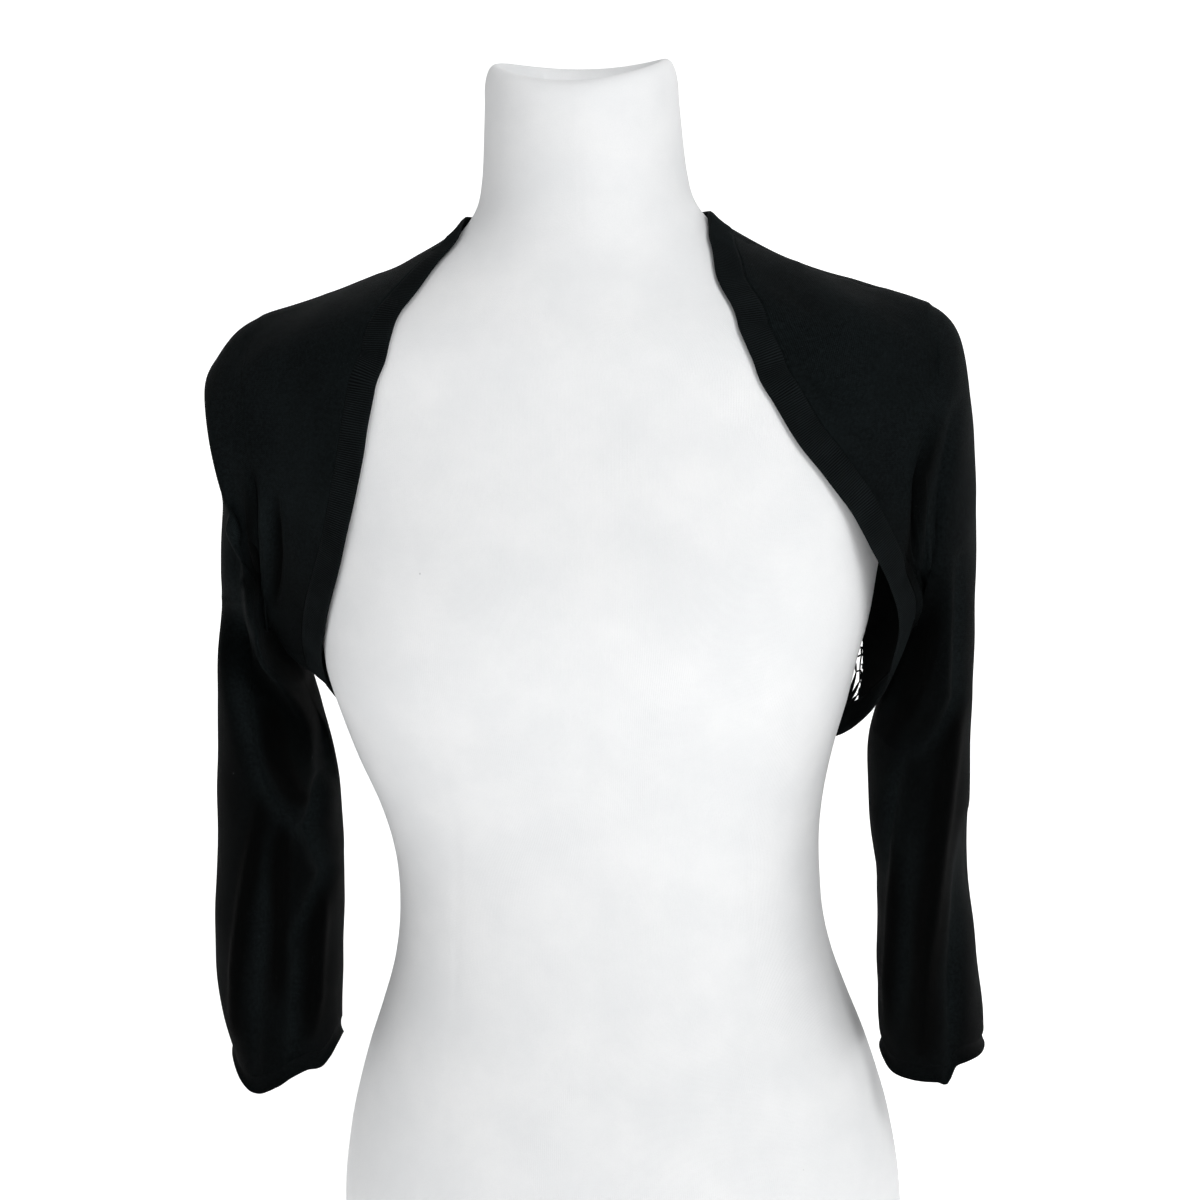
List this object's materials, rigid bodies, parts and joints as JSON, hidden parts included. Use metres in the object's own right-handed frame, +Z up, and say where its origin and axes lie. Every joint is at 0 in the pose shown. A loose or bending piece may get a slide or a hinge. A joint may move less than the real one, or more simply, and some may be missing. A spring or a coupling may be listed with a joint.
{
  "type": "knitted shrug on a dress form",
  "caption": "Fine-knit black shrug with three-quarter sleeves, a rib band round its open front and a crochet back, worn by a limbless white dress form.",
  "frame": {"origin": "centre of the form's flat base", "axes": "+Z up, the front faces -Y, +X is the wearer's left"},
  "size_m": [0.4435, 0.245, 0.726],
  "materials": {
    "jersey": "matt white stretch jersey pulled smooth over the form",
    "knit": "matt black fine-gauge stocking-stitch knit with a faint fuzz",
    "rib": "matt black fine rib, its ribs square to the edge",
    "lace": "matt black open crochet of thin yarn"
  },
  "bodies": {
    "root": {"dress_form": "jersey", "front_left": "knit", "front_right": "knit", "back_yoke": "knit", "back_side_left": "knit", "back_side_right": "knit", "back_lace": "lace", "band_neck": "rib", "band_front_left": "rib", "band_front_right": "rib", "band_hem": "rib", "sleeve_left": "knit", "sleeve_right": "knit", "cuff_hem_left": "knit", "cuff_hem_right": "knit"}
  },
  "joints": []
}
